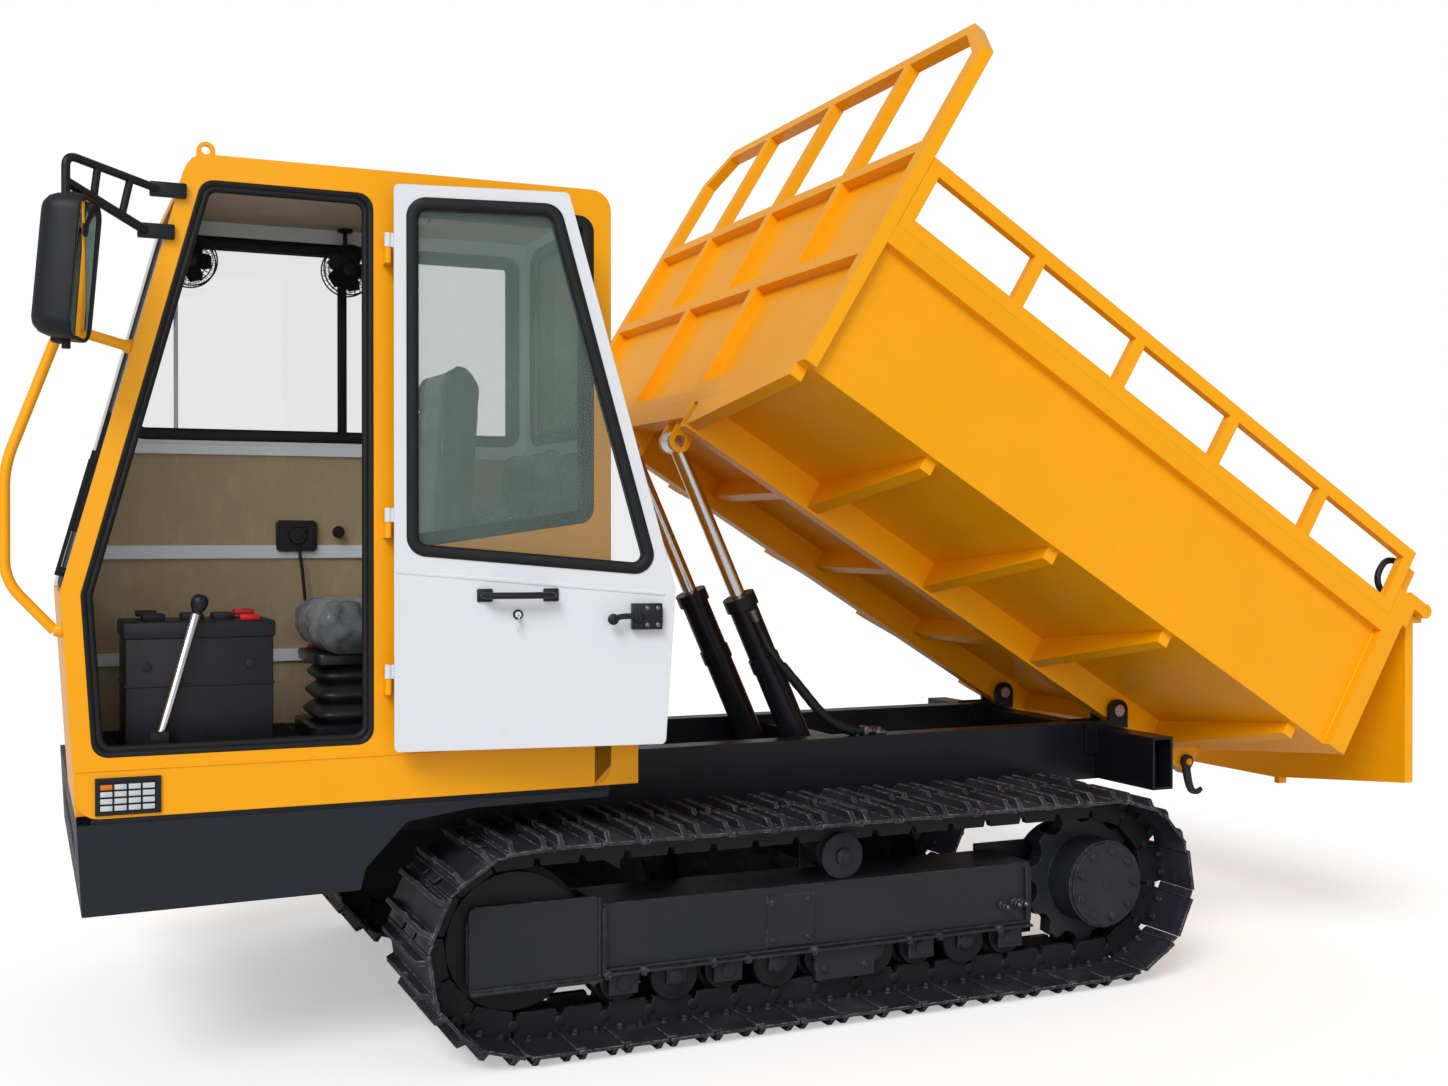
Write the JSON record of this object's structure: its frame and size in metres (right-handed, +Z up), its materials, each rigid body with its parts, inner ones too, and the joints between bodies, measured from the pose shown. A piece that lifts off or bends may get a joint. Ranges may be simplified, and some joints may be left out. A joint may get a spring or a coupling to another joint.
{
  "type": "tracked dump carrier",
  "caption": "Tracked dump carrier with a narrow cab, an open side door, steel crawler tracks and a hydraulically tipped bed with fences, front guard and hinged tailgate.",
  "frame": {"origin": "on the ground under the middle of the machine's bounding box", "axes": "+X to the rear of the machine, +Y to its right side, +Z up; the cab is at -X"},
  "size_m": [4.2864, 2.024, 2.8933],
  "materials": {
    "yellow_paint": "gloss",
    "white_paint": "satin",
    "charcoal_paint": "satin",
    "track_steel": "rough",
    "bright_steel": "polished",
    "cast": "rough",
    "clear_glass": "clear",
    "black_plastic": "matte",
    "black_rubber": "matte",
    "trim": "matte",
    "seat_cover": "matte"
  },
  "bodies": {
    "chassis": {"chassis_frame": "charcoal_paint", "pivot_pins": "bright_steel", "final_drives": "charcoal_paint", "track_frame_left": "charcoal_paint", "track_chain_left": "track_steel", "track_shoes_left": "track_steel", "track_frame_right": "charcoal_paint", "track_chain_right": "track_steel", "track_shoes_right": "track_steel", "cab_floor": "charcoal_paint", "cab_shell": "yellow_paint", "cab_glass": "clear_glass", "cab_skirt": "charcoal_paint", "cab_lining": "trim", "door_seal": "black_rubber", "mirror_bracket": "black_plastic", "handrail": "yellow_paint", "battery": "black_plastic", "seat_bases": "black_rubber", "driver_seat": "seat_cover", "passenger_seat": "seat_cover", "cab_fans": "black_plastic", "hoist_hoses": "black_rubber", "engine": "cast", "engine_hood": "yellow_paint", "fluid_tanks": "black_plastic"},
    "bed": {"bed_tub": "yellow_paint", "bed_underframe": "yellow_paint", "front_guard": "yellow_paint", "side_fences": "yellow_paint"},
    "tailgate": {"tailgate": "yellow_paint"},
    "gate_hooks": {"gate_hooks": "cast"},
    "hoist_barrels": {"hoist_barrels": "charcoal_paint"},
    "hoist_rods": {"hoist_rods": "bright_steel"},
    "door": {"door_panel": "white_paint", "door_glass": "clear_glass", "door_pull": "black_plastic"},
    "door_latch_lever": {"door_latch_lever": "black_plastic"},
    "mirror_head": {"mirror_head": "black_plastic"},
    "wiper_arm": {"wiper_arm": "black_plastic"},
    "drive_lever": {"drive_lever": "bright_steel"},
    "throttle_lever": {"throttle_lever": "black_plastic"},
    "fan_blades_front": {"fan_blades_front": "black_plastic"},
    "fan_blades_rear": {"fan_blades_rear": "black_plastic"},
    "sprocket_left": {"sprocket_left": "charcoal_paint"},
    "idler_left": {"idler_left": "track_steel"},
    "carrier_roller_left": {"carrier_roller_left": "charcoal_paint"},
    "road_roller_left_1": {"road_roller_left_1": "track_steel"},
    "road_roller_left_2": {"road_roller_left_2": "track_steel"},
    "road_roller_left_3": {"road_roller_left_3": "track_steel"},
    "road_roller_left_4": {"road_roller_left_4": "track_steel"},
    "road_roller_left_5": {"road_roller_left_5": "track_steel"},
    "sprocket_right": {"sprocket_right": "charcoal_paint"},
    "idler_right": {"idler_right": "track_steel"},
    "carrier_roller_right": {"carrier_roller_right": "charcoal_paint"},
    "road_roller_right_1": {"road_roller_right_1": "track_steel"},
    "road_roller_right_2": {"road_roller_right_2": "track_steel"},
    "road_roller_right_3": {"road_roller_right_3": "track_steel"},
    "road_roller_right_4": {"road_roller_right_4": "track_steel"},
    "road_roller_right_5": {"road_roller_right_5": "track_steel"}
  },
  "joints": [
    {"name": "bed_tilt", "type": "hinge", "parent": "chassis", "child": "bed", "pos_m": [1.3558, 0, 0.785], "axis": [0, 1, 0], "range_deg": [-31.5, 3]},
    {"name": "hoist_swing", "type": "hinge", "parent": "chassis", "child": "hoist_barrels", "pos_m": [0.2788, 0, 0.6], "axis": [0, 1, 0], "range_deg": [-56.42, 6.28], "deforming": ["hoist_hoses"]},
    {"name": "hoist_stroke", "type": "slide", "parent": "hoist_barrels", "child": "hoist_rods", "axis": [-0.4092, 0, 0.9124], "range_m": [-0.4518, 0.0448]},
    {"name": "tailgate_swing", "type": "hinge", "parent": "bed", "child": "tailgate", "pos_m": [2.1192, 0, 1.13699], "axis": [0, 1, 0], "range_deg": [-60, 31.5]},
    {"name": "hook_turn", "type": "hinge", "parent": "bed", "child": "gate_hooks", "pos_m": [1.66354, 0, 0.59055], "axis": [0, 1, 0], "range_deg": [-37, 4]},
    {"name": "sprocket_left_spin", "type": "hinge", "parent": "chassis", "child": "sprocket_left", "pos_m": [0.99679, -0.66, 0.30072], "axis": [0, 1, 0], "continuous": true},
    {"name": "idler_left_spin", "type": "hinge", "parent": "chassis", "child": "idler_left", "pos_m": [-0.88821, -0.66, 0.30072], "axis": [0, 1, 0], "continuous": true},
    {"name": "carrier_roller_left_spin", "type": "hinge", "parent": "chassis", "child": "carrier_roller_left", "pos_m": [0.0943, -0.66, 0.45343], "axis": [0, 1, 0], "continuous": true},
    {"name": "road_roller_left_1_spin", "type": "hinge", "parent": "chassis", "child": "road_roller_left_1", "pos_m": [-0.5882, -0.66, 0.164], "axis": [0, 1, 0], "continuous": true},
    {"name": "road_roller_left_2_spin", "type": "hinge", "parent": "chassis", "child": "road_roller_left_2", "pos_m": [-0.27446, -0.66, 0.164], "axis": [0, 1, 0], "continuous": true},
    {"name": "road_roller_left_3_spin", "type": "hinge", "parent": "chassis", "child": "road_roller_left_3", "pos_m": [0.03929, -0.66, 0.164], "axis": [0, 1, 0], "continuous": true},
    {"name": "road_roller_left_4_spin", "type": "hinge", "parent": "chassis", "child": "road_roller_left_4", "pos_m": [0.35304, -0.66, 0.164], "axis": [0, 1, 0], "continuous": true},
    {"name": "road_roller_left_5_spin", "type": "hinge", "parent": "chassis", "child": "road_roller_left_5", "pos_m": [0.6668, -0.66, 0.164], "axis": [0, 1, 0], "continuous": true},
    {"name": "sprocket_right_spin", "type": "hinge", "parent": "chassis", "child": "sprocket_right", "pos_m": [0.99679, 0.66, 0.30072], "axis": [0, 1, 0], "continuous": true},
    {"name": "idler_right_spin", "type": "hinge", "parent": "chassis", "child": "idler_right", "pos_m": [-0.88821, 0.66, 0.30072], "axis": [0, 1, 0], "continuous": true},
    {"name": "carrier_roller_right_spin", "type": "hinge", "parent": "chassis", "child": "carrier_roller_right", "pos_m": [0.0943, 0.66, 0.45343], "axis": [0, 1, 0], "continuous": true},
    {"name": "road_roller_right_1_spin", "type": "hinge", "parent": "chassis", "child": "road_roller_right_1", "pos_m": [-0.5882, 0.66, 0.164], "axis": [0, 1, 0], "continuous": true},
    {"name": "road_roller_right_2_spin", "type": "hinge", "parent": "chassis", "child": "road_roller_right_2", "pos_m": [-0.27446, 0.66, 0.164], "axis": [0, 1, 0], "continuous": true},
    {"name": "road_roller_right_3_spin", "type": "hinge", "parent": "chassis", "child": "road_roller_right_3", "pos_m": [0.03929, 0.66, 0.164], "axis": [0, 1, 0], "continuous": true},
    {"name": "road_roller_right_4_spin", "type": "hinge", "parent": "chassis", "child": "road_roller_right_4", "pos_m": [0.35304, 0.66, 0.164], "axis": [0, 1, 0], "continuous": true},
    {"name": "road_roller_right_5_spin", "type": "hinge", "parent": "chassis", "child": "road_roller_right_5", "pos_m": [0.6668, 0.66, 0.164], "axis": [0, 1, 0], "continuous": true},
    {"name": "door_swing", "type": "hinge", "parent": "chassis", "child": "door", "pos_m": [-1.2372, -0.798, 1.4], "axis": [0, 0, 1], "range_deg": [-170, 4]},
    {"name": "door_latch_turn", "type": "hinge", "parent": "door", "child": "door_latch_lever", "pos_m": [-0.61826, -0.94572, 1.175], "axis": [-0.1736, -0.9848, 0], "range_deg": [-25, 25], "stiffness_Nm_per_rad": 0.6},
    {"name": "mirror_turn", "type": "hinge", "parent": "chassis", "child": "mirror_head", "pos_m": [-1.9992, -0.914, 2], "axis": [0, 0, 1], "range_deg": [-20, 20]},
    {"name": "wiper_sweep", "type": "hinge", "parent": "chassis", "child": "wiper_arm", "pos_m": [-1.98722, -0.409, 1.29], "axis": [0.9643, 0, -0.2649], "range_deg": [-38, 22]},
    {"name": "drive_lever_tilt", "type": "hinge", "parent": "chassis", "child": "drive_lever", "pos_m": [-1.7822, -0.684, 0.88], "axis": [0, 1, 0], "range_deg": [-34, 6]},
    {"name": "throttle_swing", "type": "hinge", "parent": "chassis", "child": "throttle_lever", "pos_m": [-1.3602, -0.145, 1.385], "axis": [0, 1, 0], "range_deg": [-30, 30]},
    {"name": "fan_front_spin", "type": "hinge", "parent": "chassis", "child": "fan_blades_front", "pos_m": [-1.6592, -0.174, 2.155], "axis": [0, 1, 0], "continuous": true},
    {"name": "fan_rear_spin", "type": "hinge", "parent": "chassis", "child": "fan_blades_rear", "pos_m": [-1.2212, -0.174, 2.155], "axis": [0, 1, 0], "continuous": true}
  ],
  "couplings": [
    {"joint": "hoist_swing", "follows": "bed_tilt", "ratio": 1.7594},
    {"joint": "hoist_stroke", "follows": "bed_tilt", "m_per_rad": 0.81815},
    {"joint": "hook_turn", "follows": "bed_tilt", "ratio": 1.1429},
    {"joint": "idler_left_spin", "follows": "sprocket_left_spin", "ratio": 1},
    {"joint": "carrier_roller_left_spin", "follows": "sprocket_left_spin", "ratio": 5.4932},
    {"joint": "road_roller_left_1_spin", "follows": "sprocket_left_spin", "ratio": 3.9778},
    {"joint": "road_roller_left_2_spin", "follows": "sprocket_left_spin", "ratio": 3.9778},
    {"joint": "road_roller_left_3_spin", "follows": "sprocket_left_spin", "ratio": 3.9778},
    {"joint": "road_roller_left_4_spin", "follows": "sprocket_left_spin", "ratio": 3.9778},
    {"joint": "road_roller_left_5_spin", "follows": "sprocket_left_spin", "ratio": 3.9778},
    {"joint": "idler_right_spin", "follows": "sprocket_right_spin", "ratio": 1},
    {"joint": "carrier_roller_right_spin", "follows": "sprocket_right_spin", "ratio": 5.4932},
    {"joint": "road_roller_right_1_spin", "follows": "sprocket_right_spin", "ratio": 3.9778},
    {"joint": "road_roller_right_2_spin", "follows": "sprocket_right_spin", "ratio": 3.9778},
    {"joint": "road_roller_right_3_spin", "follows": "sprocket_right_spin", "ratio": 3.9778},
    {"joint": "road_roller_right_4_spin", "follows": "sprocket_right_spin", "ratio": 3.9778},
    {"joint": "road_roller_right_5_spin", "follows": "sprocket_right_spin", "ratio": 3.9778}
  ]
}
